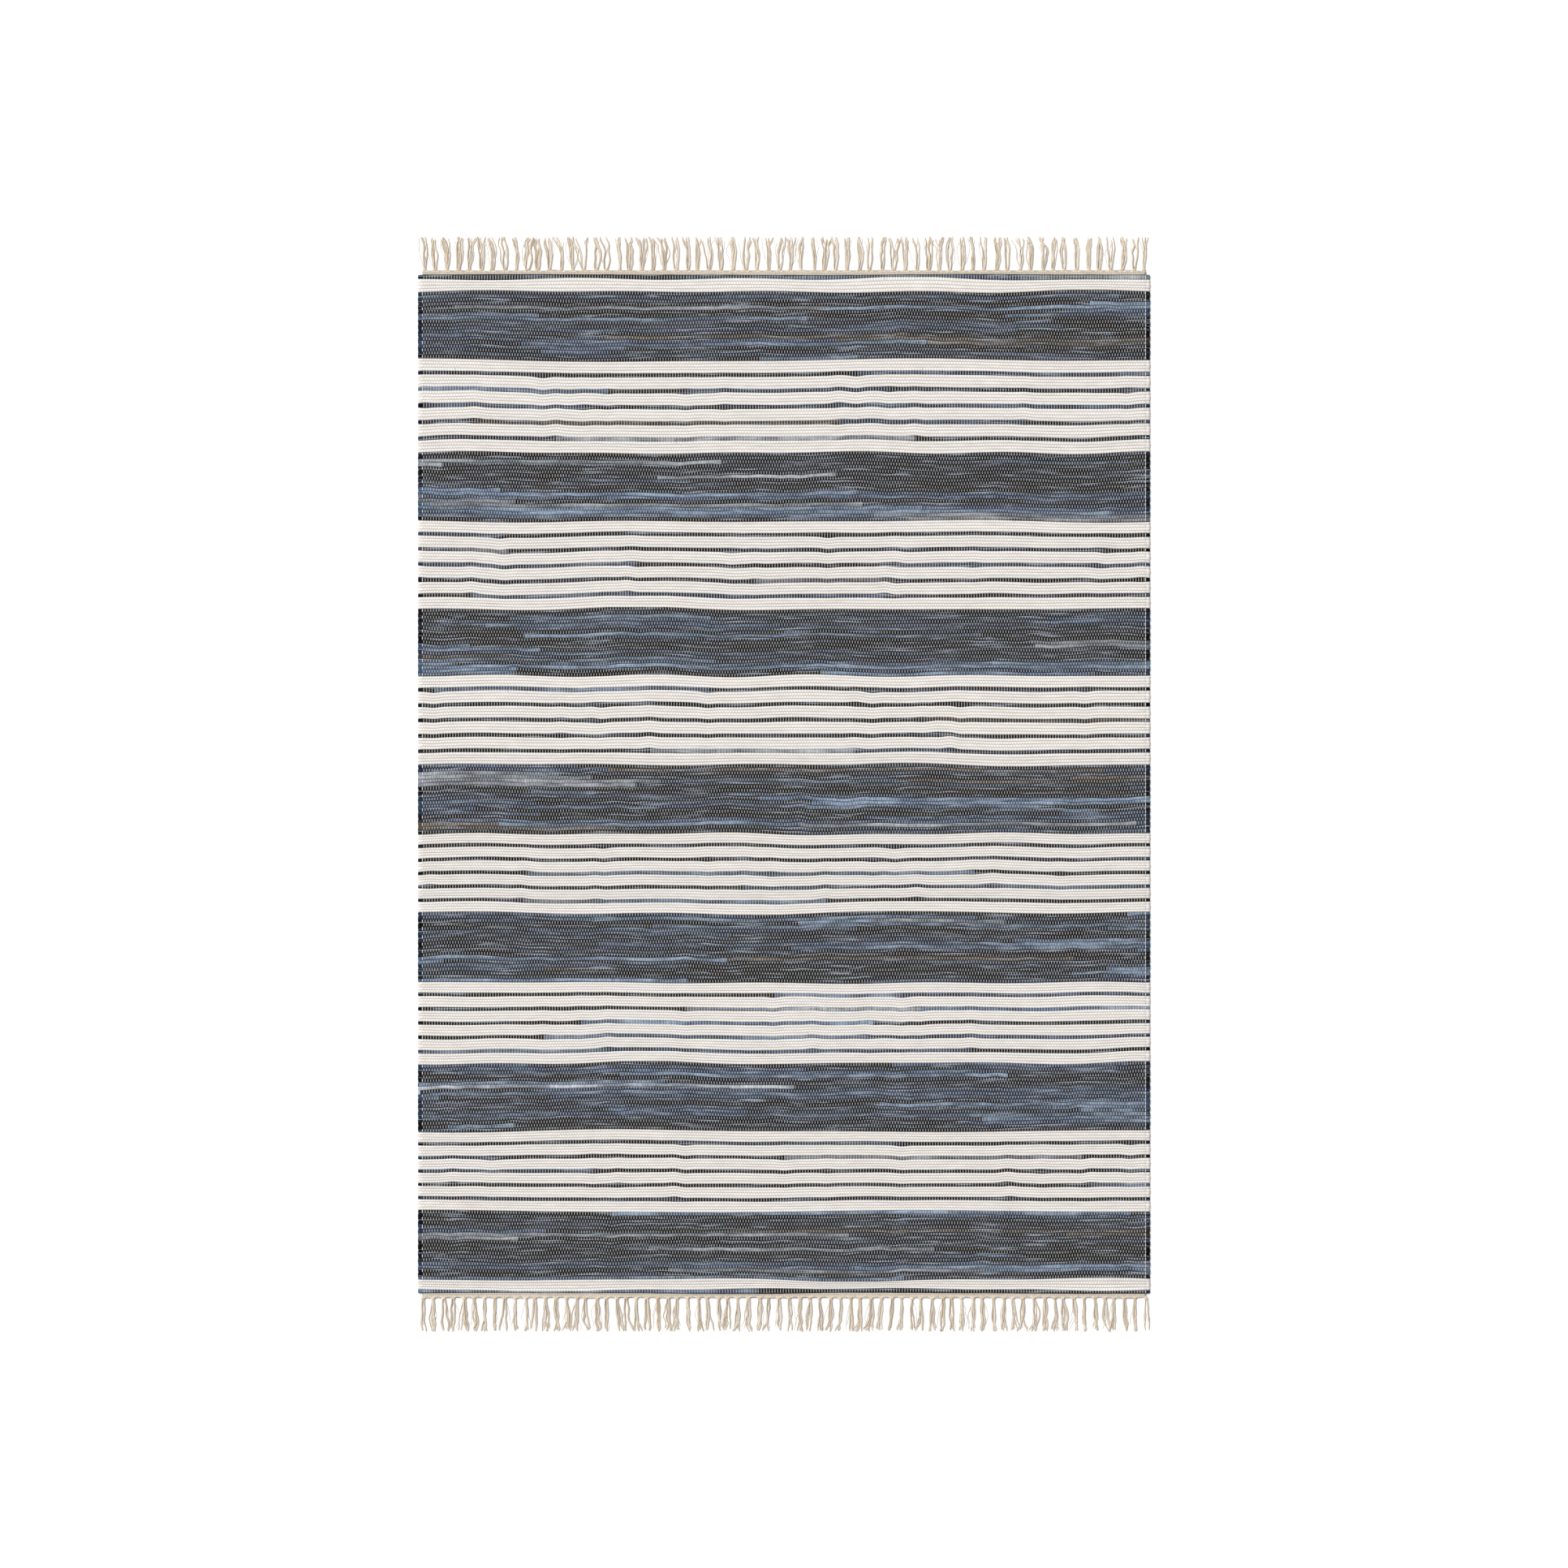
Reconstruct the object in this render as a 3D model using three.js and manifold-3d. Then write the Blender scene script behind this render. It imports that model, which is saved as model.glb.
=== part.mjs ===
// Handwoven rag rug lying flat: a ribbed cotton body, and at each end a heading with a knotted warp fringe.
// Millimetres, +Z up. +Y runs along the rug's length, and the origin is on the floor under its middle.
import * as THREE from "three";
import { mergeVertices } from "three/addons/utils/BufferGeometryUtils.js";
import Module from "manifold-3d";

const wasm = await Module();
wasm.setup();

// Driving dimensions of the woven body
const RUG_WIDTH = 1200; // along the wefts, selvedge to selvedge
const PIECE_GAP = 0.3; // between the woven body and each heading

// Each weft makes one rib across the rug: the height of its crest, and of the valley beside it.
const WEFTS = {
  rag: { crest: 5.6, valley: 4.3 },
  cotton: { crest: 5.2, valley: 4.2 },
};
const CREST_START = 0.28; // the flat of a crest, as shares of the pick's width
const CREST_END = 0.72;

// The picks that each kind of stripe is woven from, in order.
const PLAIN_PICKS = Array(4).fill("cotton");
const LINES_PER_STRIPE = 5; // single rag picks in a lined stripe, with plain picks between them
const STRIPE_PICKS = {
  edge: ["rag"],
  plain: PLAIN_PICKS,
  dark: Array(19).fill("rag"),
  lined: [...Array(LINES_PER_STRIPE).fill([...PLAIN_PICKS, "rag"]).flat(), ...PLAIN_PICKS],
};

// The stripes from the near end to the far end. Beaten by hand, like stripes differ a little in width.
const STRIPES = [
  { kind: "edge", width: 6 },
  { kind: "plain", width: 16 },
  { kind: "dark", width: 112 },
  { kind: "lined", width: 132 },
  { kind: "dark", width: 111 },
  { kind: "lined", width: 132 },
  { kind: "dark", width: 114 },
  { kind: "lined", width: 130 },
  { kind: "dark", width: 113 },
  { kind: "lined", width: 146 },
  { kind: "dark", width: 109 },
  { kind: "lined", width: 144 },
  { kind: "dark", width: 112 },
  { kind: "lined", width: 152 },
  { kind: "dark", width: 112 },
  { kind: "plain", width: 21 },
  { kind: "edge", width: 6.5 },
];
const WOVEN_LENGTH = STRIPES.reduce((sum, stripe) => sum + stripe.width, 0);

// The heading is a narrow band of warp yarn packed along the woven edge, inside the selvedges.
const HEADING = { depth: 7, height: 4, inset: 5, round: 1.2 };

// A tassel is a bunch of warp ends, tied in a knot at the heading and parted into two locks on the floor.
const FRINGE_REACH = 55; // from the heading to the longest tip
const KNOT = { bottomRadius: 2.9, topRadius: 1.9, height: 4.3, sides: 5, past: 1 };
const ROOT_JITTER = 2; // how far a knot strays from even spacing
const LEAN_JITTER = 1.8; // how far a tassel's tip strays from its neighbours' lean
const BOW_JITTER = 1.3; // how far a tassel's middle strays from its end's usual bow
const SHORTEST_LOCK = 0.93; // as a share of the longest
const SPREAD = { least: 0.95, most: 1.35 }; // how far the two locks part, as shares of the table's width

// A lock's sections from its root to its tip: half the way between the two locks, and the lock's own size.
const LOCK_SECTIONS = [
  { along: 0, apart: 0.8, width: 2, height: 2.8 },
  { along: 0.45, apart: 2.1, width: 2.8, height: 2.4 },
  { along: 1, apart: 2.1, width: 2.4, height: 1.8 },
];

// The two fringes, each seen from the woven edge towards its tips. Leans are sideways at the tips, at even
// steps along the end, and the bow is sideways at mid length.
const FRINGES = [
  {
    name: "fringe_far_end",
    turn: 0,
    seed: 1,
    tassels: 64,
    bow: 1.3,
    leans: [-0.8, -1.7, -2, -0.5, 1.2, -0.8, 1.7, 0.5],
  },
  {
    name: "fringe_near_end",
    turn: Math.PI,
    seed: 2,
    tassels: 72,
    bow: -0.4,
    leans: [-0.7, -2.5, 0.9, 3, 0.5, -1.1, -2.4, 1.3, -2],
  },
];

const WEAVE_COLOUR = 0x9c9da1; // the grey that the dark and cream picks make together
const WARP_COLOUR = 0xd8cbbc; // unbleached cotton

function clothMaterial(color) {
  return new THREE.MeshStandardMaterial({ color, roughness: 0.92, metalness: 0 });
}

// A fixed uneven number between -1 and 1 for each fringe, tassel and use.
function uneven(seed, index, use) {
  const wave = Math.sin(seed * 311.7 + index * 12.9898 + use * 78.233) * 43758.5453;
  return 2 * (wave - Math.floor(wave)) - 1;
}

// An outline drawn in the rug's Y and Z, extruded along X and centred on it.
function extrudeAcross(outline, length) {
  const geometry = new THREE.ExtrudeGeometry(outline, { depth: length, bevelEnabled: false });
  const acrossX = new THREE.Matrix4().makeBasis(
    new THREE.Vector3(0, 1, 0),
    new THREE.Vector3(0, 0, 1),
    new THREE.Vector3(1, 0, 0),
  );
  return geometry.applyMatrix4(acrossX).translate(-length / 2, 0, 0);
}

// The woven body: one flat sheet, with a rib for every weft on its upper face. Its underside is parted at
// the stripes.
function wovenBody() {
  const outline = new THREE.Shape();
  let y = -WOVEN_LENGTH / 2;
  let valley = 0;
  outline.moveTo(y, 0);
  for (const { kind, width } of STRIPES) {
    const pitch = width / STRIPE_PICKS[kind].length;
    for (const weft of STRIPE_PICKS[kind]) {
      valley = WEFTS[weft].valley;
      outline.lineTo(y, valley);
      outline.lineTo(y + CREST_START * pitch, WEFTS[weft].crest);
      outline.lineTo(y + CREST_END * pitch, WEFTS[weft].crest);
      y += pitch;
    }
  }
  outline.lineTo(y, valley);
  for (const { width } of [...STRIPES].reverse()) {
    outline.lineTo(y, 0);
    y -= width;
  }
  const mesh = new THREE.Mesh(extrudeAcross(outline, RUG_WIDTH), clothMaterial(WEAVE_COLOUR));
  mesh.name = "woven_body";
  return mesh;
}

// The heading along one end, with its upper edges rounded off.
function heading() {
  const { depth, height, inset, round } = HEADING;
  const outline = new THREE.Shape();
  outline.moveTo(0, 0);
  outline.lineTo(depth, 0);
  outline.lineTo(depth, height - round);
  outline.lineTo(depth - round, height);
  outline.lineTo(round, height);
  outline.lineTo(0, height - round);
  return extrudeAcross(outline, RUG_WIDTH - 2 * inset);
}

// A tassel's knot, a low lump half sunk in the heading's outer edge.
function knot(x) {
  const { bottomRadius, topRadius, height, sides, past } = KNOT;
  return new THREE.CylinderGeometry(topRadius, bottomRadius, height, sides)
    .rotateX(Math.PI / 2)
    .translate(x, HEADING.depth + past, height / 2);
}

// A closed three-sided lock through the given sections, flat along the floor with a ridge on top.
function lock(sections) {
  const points = sections.flatMap(({ x, y, width, height }) => [
    [x - width / 2, y, 0],
    [x + width / 2, y, 0],
    [x, y, height],
  ]);
  const faces = [0, 1, 2];
  for (let section = 0; section < sections.length - 1; section += 1) {
    for (let side = 0; side < 3; side += 1) {
      const here = 3 * section + side;
      const beside = 3 * section + ((side + 1) % 3);
      faces.push(here, here + 3, beside, beside, here + 3, beside + 3);
    }
  }
  const tip = points.length - 3;
  faces.push(tip, tip + 2, tip + 1);
  const geometry = new THREE.BufferGeometry();
  geometry.setAttribute("position", new THREE.Float32BufferAttribute(points.flat(), 3));
  geometry.setIndex(faces);
  return geometry;
}

// One tassel: its knot, and its two locks laid out from it along a leaning, slightly bowed line.
function tassel(fringe, index, leanLine) {
  const { seed, tassels, bow } = fringe;
  const share = (index + 0.5) / tassels;
  const root = (share - 0.5) * RUG_WIDTH + ROOT_JITTER * uneven(seed, index, 0);
  const lean = leanLine.getPoint(share).y + LEAN_JITTER * uneven(seed, index, 1);
  const bowed = bow + BOW_JITTER * uneven(seed, index, 2);
  const locks = [-1, 1].map((side) => {
    const shortened = (1 - SHORTEST_LOCK) * (0.5 + 0.5 * uneven(seed, index, 4 + side));
    const length = FRINGE_REACH * (1 - shortened) - KNOT.past;
    const middling = 0.5 + 0.5 * uneven(seed, index, 7 + side);
    const spread = THREE.MathUtils.lerp(SPREAD.least, SPREAD.most, middling);
    const sections = LOCK_SECTIONS.map(({ along, apart, width, height }) => ({
      x: root + lean * along ** 2 + bowed * Math.sin(Math.PI * along) + side * apart * spread,
      y: HEADING.depth + KNOT.past + length * along,
      width,
      height,
    }));
    return lock(sections);
  });
  return [knot(root), ...locks];
}

// A geometry as a solid that can be joined.
function solidOf(geometry) {
  const bare = geometry.clone();
  bare.deleteAttribute("normal");
  bare.deleteAttribute("uv");
  const merged = mergeVertices(bare, 1e-4);
  return new wasm.Manifold(
    new wasm.Mesh({
      numProp: 3,
      vertProperties: merged.attributes.position.array,
      triVerts: new Uint32Array(merged.index.array),
    }),
  );
}

// One end's fringe: every tassel fused into the heading.
function fringeMesh(fringe) {
  const leanLine = new THREE.SplineCurve(fringe.leans.map((lean, step) => new THREE.Vector2(step, lean)));
  const pieces = [heading()];
  for (let index = 0; index < fringe.tassels; index += 1) {
    pieces.push(...tassel(fringe, index, leanLine));
  }
  const joined = wasm.Manifold.union(pieces.map(solidOf)).getMesh();
  const geometry = new THREE.BufferGeometry();
  geometry.setAttribute("position", new THREE.BufferAttribute(joined.vertProperties, joined.numProp));
  geometry.setIndex(new THREE.BufferAttribute(joined.triVerts, 1));
  geometry.computeVertexNormals();
  const mesh = new THREE.Mesh(geometry, clothMaterial(WARP_COLOUR));
  mesh.name = fringe.name;
  mesh.position.y = WOVEN_LENGTH / 2 + PIECE_GAP;
  const end = new THREE.Group();
  end.rotation.z = fringe.turn;
  end.add(mesh);
  return end;
}

const rug = new THREE.Group();
rug.add(wovenBody(), ...FRINGES.map(fringeMesh));

export default rug;
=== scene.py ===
import math
from itertools import groupby

import bpy
import numpy as np
from mathutils import Matrix, Vector


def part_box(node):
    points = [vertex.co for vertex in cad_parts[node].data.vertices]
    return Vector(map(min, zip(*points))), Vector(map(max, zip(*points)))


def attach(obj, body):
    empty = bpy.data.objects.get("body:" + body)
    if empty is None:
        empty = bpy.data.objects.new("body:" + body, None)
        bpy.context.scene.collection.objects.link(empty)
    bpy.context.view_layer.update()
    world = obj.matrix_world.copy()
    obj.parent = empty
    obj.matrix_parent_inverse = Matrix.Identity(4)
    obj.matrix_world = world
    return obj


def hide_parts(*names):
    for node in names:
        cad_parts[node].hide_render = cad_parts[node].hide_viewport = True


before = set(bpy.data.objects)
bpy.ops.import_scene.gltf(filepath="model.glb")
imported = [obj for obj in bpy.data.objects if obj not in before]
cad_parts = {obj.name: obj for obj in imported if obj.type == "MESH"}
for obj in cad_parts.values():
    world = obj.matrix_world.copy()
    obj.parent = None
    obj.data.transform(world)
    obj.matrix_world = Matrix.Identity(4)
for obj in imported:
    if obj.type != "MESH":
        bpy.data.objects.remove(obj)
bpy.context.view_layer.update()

# The woven body
# A plain weave of thick rag and cotton wefts, beaten close on a thin cotton warp. Each rag pick is strips of
# old cloth joined end to end, so its colour and thickness change along it. At the selvedges it turns back.
MM = 0.001
WARP_ENDS = 524
SELVEDGE = 6.5  # millimetres of turned weft outside the outermost warp end
LOOP_STEPS = np.array([0.0, 1.6, 4.0, SELVEDGE])  # a turned weft's columns, from the rug's edge inwards
PLAIN_PICKS = ["cotton"] * 4
STRIPE_PICKS = {
    "edge": ["line"],
    "plain": PLAIN_PICKS,
    "dark": ["rag"] * 19,
    "lined": (PLAIN_PICKS + ["line"]) * 5 + PLAIN_PICKS,
}

# The stripes from the near end to the far end, in millimetres. A repeat is what the weaver makes between two
# changes of shuttle, and each repeat is a piece.
STRIPES = [
    {"kind": "edge", "width": 6, "repeat": 1},
    {"kind": "plain", "width": 16, "repeat": 1},
    {"kind": "dark", "width": 112, "repeat": 1},
    {"kind": "lined", "width": 132, "repeat": 1},
    {"kind": "dark", "width": 111, "repeat": 2},
    {"kind": "lined", "width": 132, "repeat": 2},
    {"kind": "dark", "width": 114, "repeat": 3},
    {"kind": "lined", "width": 130, "repeat": 3},
    {"kind": "dark", "width": 113, "repeat": 4},
    {"kind": "lined", "width": 146, "repeat": 4},
    {"kind": "dark", "width": 109, "repeat": 5},
    {"kind": "lined", "width": 144, "repeat": 5},
    {"kind": "dark", "width": 112, "repeat": 6},
    {"kind": "lined", "width": 152, "repeat": 6},
    {"kind": "dark", "width": 112, "repeat": 7},
    {"kind": "plain", "width": 21, "repeat": 7},
    {"kind": "edge", "width": 6.5, "repeat": 7},
]

# The wefts: rag in the wide bands, a single thicker rag in each line, and plain cotton between the lines. In
# millimetres are the crest over the warp, the dip where the warp draws it down, the swell in height where it
# is twice as thick, and the shortest and longest strip of rag. The others are shares of the usual thickness:
# how thick the weft is, how far that varies along it, and what a join adds.
WEFTS = {
    "rag": {
        "crest": 5.5,
        "dip": 0.8,
        "swell": 1.2,
        "thick": 1.0,
        "uneven": 0.06,
        "strips": (90, 900),
        "join": 0.25,
    },
    "line": {
        "crest": 5.5,
        "dip": 0.8,
        "swell": 1.2,
        "thick": 1.28,
        "uneven": 0.06,
        "strips": (120, 650),
        "join": 0.4,
    },
    "cotton": {
        "crest": 5.1,
        "dip": 0.5,
        "swell": 0.5,
        "thick": 1.0,
        "uneven": 0.03,
        "strips": None,
    },
}
VALLEY = 4.0  # millimetres, the height between two picks
UNEVEN_LENGTHS = (110, 900)  # millimetres over which a pick thickens and thins
SWELL_LIMITS = (-0.4, 0.6)  # the changes of thickness that show in a pick's height
END_DRIFT = 0.5  # millimetres that the rug's own ends and its stripes' edges stray from straight
STRIPE_DRIFT = 1.5
DRIFT_LENGTHS = (220, 1100)  # millimetres over which they stray
DRIFT_LIMIT = 2  # times the drift, the farthest that they stray

# The rags, and how often each turns up. A strip twists as it is woven in, so it shows the cloth's face in
# some places and its paler back in others.
RAGS = {
    "black jersey": {"face": "#060608", "back": "#14161a", "share": 0.35},
    "ink twill": {"face": "#0d121c", "back": "#262c39", "share": 0.22},
    "navy cotton": {"face": "#1a2538", "back": "#344155", "share": 0.19},
    "blue denim": {"face": "#35455a", "back": "#66778b", "share": 0.15},
    "grey marl": {"face": "#4d5158", "back": "#83878d", "share": 0.05},
    "brown twill": {"face": "#2b2520", "back": "#453c34", "share": 0.04},
}
COTTON_HEX = "#f5eee8"
WARP_HEX = "#e4e1dc"
FRAY_HEX = "#9ba8bb"
JOIN_LENGTH = 12  # millimetres, half of a join between two strips
FADE = 0.25  # how unevenly the strips have faded, and how flecked each one is
FLECK = 0.15
BACK_SHARE = 0.3  # how much of a strip's back shows as a rule, and how far that varies along it
BACK_VARIES = 0.5
TWIST_LENGTHS = (60, 700)  # millimetres over which a strip twists
PICK_SHADE = 0.03  # how far the cotton's shade varies from pick to pick, and along one
ALONG_SHADE = 0.02
SHADE_LENGTHS = (30, 400)  # millimetres
SHADE_LIMITS = (0.9, 1.05)

draws = np.random.default_rng(11)


def linear(code):
    """An sRGB hex colour as linear red, green and blue."""
    parts = np.array([int(code[i : i + 2], 16) for i in (1, 3, 5)]) / 255
    return np.where(parts <= 0.04045, parts / 12.92, ((parts + 0.055) / 1.055) ** 2.4)


def ripples(places, rows, shortest, longest):
    """Smooth uneven curves over the places, a row of them each, with a spread of about one."""
    waves = 7
    lengths = shortest * (longest / shortest) ** draws.random((rows, waves, 1))
    starts = draws.random((rows, waves, 1))
    curves = np.sin(2 * np.pi * (places / lengths + starts))
    return curves.sum(axis=1) * math.sqrt(2 / waves)


def rag_run(places, picks, strips):
    """The colours, and the swellings at the joins, along a run of picks that turns at each selvedge."""
    turn = np.arange(picks)[:, None]
    along = np.where(turn % 2 == 0, places, -places) + RUG_WIDTH * (turn + 0.5)
    joins = np.cumsum(draws.uniform(*strips, size=int(picks * RUG_WIDTH / strips[0]) + 2)) - strips[1]
    strip = np.searchsorted(joins, along)
    kinds = draws.choice(len(RAGS), size=len(joins) + 1, p=[rag["share"] for rag in RAGS.values()])
    face, back = (np.array([linear(rag[side]) for rag in RAGS.values()])[kinds] for side in ("face", "back"))
    fade = np.exp(FADE * draws.standard_normal((len(kinds), 1)))
    back_seen = BACK_SHARE + BACK_VARIES * ripples(along.ravel(), 1, *TWIST_LENGTHS)
    twist = np.clip(back_seen, 0, 1).reshape(*along.shape, 1)
    fleck = np.exp(FLECK * draws.standard_normal((*along.shape, 1)))
    colours = fade[strip] * fleck * (face[strip] + twist * (back[strip] - face[strip]))
    to_join = np.abs(along[..., None] - joins).min(axis=-1)
    return colours, np.exp(-((to_join / JOIN_LENGTH) ** 2))


low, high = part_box("woven_body")
RUG_WIDTH = (high[0] - low[0]) / MM
WOVEN_LENGTH = (high[1] - low[1]) / MM

# Columns run along the warp, one on each end and four on each side's turned wefts. Rows run along the wefts,
# one in each valley and one on each crest.
end_pitch = (RUG_WIDTH - 2 * SELVEDGE) / WARP_ENDS
end_x = (np.arange(WARP_ENDS) + 0.5) * end_pitch + SELVEDGE - RUG_WIDTH / 2
loop_x = RUG_WIDTH / 2 - LOOP_STEPS
column_x = np.concatenate([-loop_x, end_x, loop_x[::-1]])
loop_end = np.zeros(len(LOOP_STEPS))
column_end = np.concatenate([loop_end, np.arange(WARP_ENDS) + 0.5, loop_end + WARP_ENDS])
wefts = [weft for stripe in STRIPES for weft in STRIPE_PICKS[stripe["kind"]]]
pick_count = len(wefts)

# Each pick's thickness and colour along it, and which picks turn into each other at each selvedge
thickness = np.ones((pick_count, len(column_x)))
nominal = np.array([WEFTS[weft]["thick"] for weft in wefts])[:, None]
colours = np.ones((pick_count, len(column_x), 3))
turned = {"left": np.zeros(pick_count + 1, bool), "right": np.zeros(pick_count + 1, bool)}
for weft, run in groupby(range(pick_count), key=wefts.__getitem__):
    run = list(run)
    thickness[run] += WEFTS[weft]["uneven"] * ripples(column_x, len(run), *UNEVEN_LENGTHS)
    if WEFTS[weft]["strips"]:
        colours[run], joins = rag_run(column_x, len(run), WEFTS[weft]["strips"])
        thickness[run] += WEFTS[weft]["join"] * joins
    else:
        by_pick = PICK_SHADE * draws.standard_normal((len(run), 1))
        shade = 1 + by_pick + ALONG_SHADE * ripples(column_x, len(run), *SHADE_LENGTHS)
        colours[run] = linear(COTTON_HEX) * np.clip(shade, *SHADE_LIMITS)[..., None]
    turned["left"][run[1::2]] = True
    turned["right"][run[2::2]] = True

# Where each row lies along the rug: the stripes' edges stray from straight, and the picks share out the room
# between them by their thickness.
edges = np.cumsum([0] + [stripe["width"] for stripe in STRIPES]) - WOVEN_LENGTH / 2
drift = np.full(len(edges), STRIPE_DRIFT)
drift[[0, -1]] = END_DRIFT
strayed = np.clip(ripples(column_x, len(edges), *DRIFT_LENGTHS), -DRIFT_LIMIT, DRIFT_LIMIT)
edge_y = edges[:, None] + drift[:, None] * strayed
valley_y = np.zeros((pick_count + 1, len(column_x)))
first = 0
for number, stripe in enumerate(STRIPES):
    last = first + len(STRIPE_PICKS[stripe["kind"]])
    room = np.cumsum((nominal * thickness)[first:last], axis=0)
    valley_y[first] = edge_y[number]
    width = edge_y[number + 1] - edge_y[number]
    valley_y[first + 1 : last + 1] = edge_y[number] + room / room[-1] * width
    first = last
crest_y = (valley_y[1:] + valley_y[:-1]) / 2

# How high each row is: a weft stands high over every other end, and is drawn down under the rest.
crest = np.array([WEFTS[weft]["crest"] for weft in wefts])[:, None]
dip = np.array([WEFTS[weft]["dip"] for weft in wefts])[:, None]
swell = np.array([WEFTS[weft]["swell"] for weft in wefts])[:, None]
warp_over = (np.floor(column_end) + np.arange(pick_count)[:, None]) % 2
crest_z = crest + swell * np.clip(thickness - 1, *SWELL_LIMITS) - dip * warp_over
valley_z = np.full(valley_y.shape, VALLEY)

# The turned wefts at the selvedges: plump over the two picks they join, and parted by a notch from the next.
CROWN = np.array([2.4, 4.9, 5.2, 4.6])  # millimetres, the heights of a loop's columns from the edge inwards
NOTCH = np.array([1.2, 2.4, 3.4, 3.9])  # the same between two loops
NOTCH_DEPTH = 0.6  # millimetres that a notch goes in from the edge
row_x = np.repeat(column_x[None, :], 2 * pick_count + 1, axis=0)
for side, columns, inwards in (("left", [0, 1, 2, 3], 1), ("right", [-1, -2, -3, -4], -1)):
    joined = turned[side][:, None]
    valley_z[:, columns] = np.where(joined, CROWN, NOTCH)
    crest_z[:, columns] = CROWN
    row_x[::2, columns[0]] += inwards * NOTCH_DEPTH * ~turned[side]

row_y = np.empty_like(row_x)
row_z = np.empty_like(row_x)
row_y[::2] = valley_y
row_y[1::2] = crest_y
row_z[::2] = valley_z
row_z[1::2] = crest_z

# A sheet's flat underside needs few columns, and the bake needs a map of its own.
UNDER_COLUMNS = 13
UNDER_INSET = 1.3  # millimetres that the underside is drawn in from the selvedges
MAP_BLOCKS = 4  # of the bake map, two by two, for the upper face
TOP_SHARE = 0.86  # of the bake map's height, for those blocks
MAP_MARGIN = 0.005
MAP_FILL = 0.99


def stitch(upper, lower, upper_x, lower_x):
    """Triangles between two chains of points that run the same way along X."""
    triangles = []
    i = j = 0
    while i < len(upper) - 1 or j < len(lower) - 1:
        if j == len(lower) - 1 or (i < len(upper) - 1 and upper_x[i + 1] <= lower_x[j + 1]):
            triangles.append((lower[j], upper[i + 1], upper[i]))
            i += 1
        else:
            triangles.append((lower[j], lower[j + 1], upper[i]))
            j += 1
    return triangles


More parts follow.
